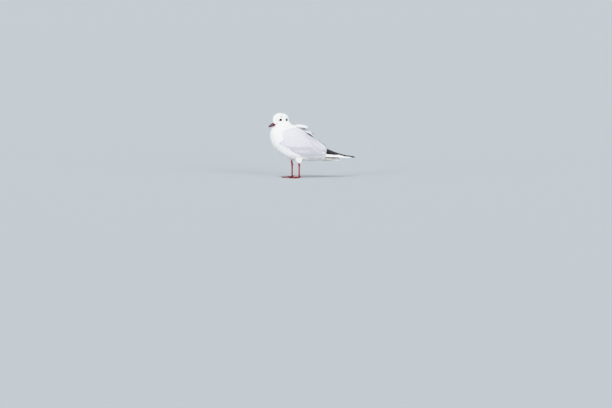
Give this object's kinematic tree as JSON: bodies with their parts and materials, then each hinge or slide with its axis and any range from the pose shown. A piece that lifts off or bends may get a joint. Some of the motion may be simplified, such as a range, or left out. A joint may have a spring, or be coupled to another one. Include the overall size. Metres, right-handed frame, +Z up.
{
  "type": "black-headed gull",
  "caption": "Life-size standing black-headed gull in winter plumage: hunched body, folded wings, wind-lifted back feathers, dark red bill and webbed feet.",
  "frame": {"origin": "on the floor under the middle of the bird's bounding box", "axes": "+Z up, -Y towards the bill, +X towards the bird's left wing"},
  "size_m": [0.1068, 0.3226, 0.2307],
  "materials": {
    "flesh": "white contour plumage over skin",
    "wing": "pale grey plumage",
    "quill_black": "black and white wing-tip quills",
    "quill_white": "white tail quills",
    "bill": "satin dark red horn",
    "leg": "scaly dark red skin",
    "claw": "dark horn",
    "eye": "wet dark brown"
  },
  "bodies": {
    "root": {"head": "flesh", "neck": "flesh", "trunk": "flesh", "bill_upper": "bill", "bill_lower": "bill", "mantle_feathers": "wing", "scapular_feathers": "wing", "tail": "quill_white", "eye_left": "eye", "wing_left": "wing", "primaries_left": "quill_black", "thigh_left": "flesh", "shank_left": "leg", "foot_left": "leg", "hind_toe_left": "leg", "claw_inner_left": "claw", "claw_middle_left": "claw", "claw_outer_left": "claw", "eye_right": "eye", "wing_right": "wing", "primaries_right": "quill_black", "thigh_right": "flesh", "shank_right": "leg", "foot_right": "leg", "hind_toe_right": "leg", "claw_inner_right": "claw", "claw_middle_right": "claw", "claw_outer_right": "claw"}
  },
  "joints": []
}
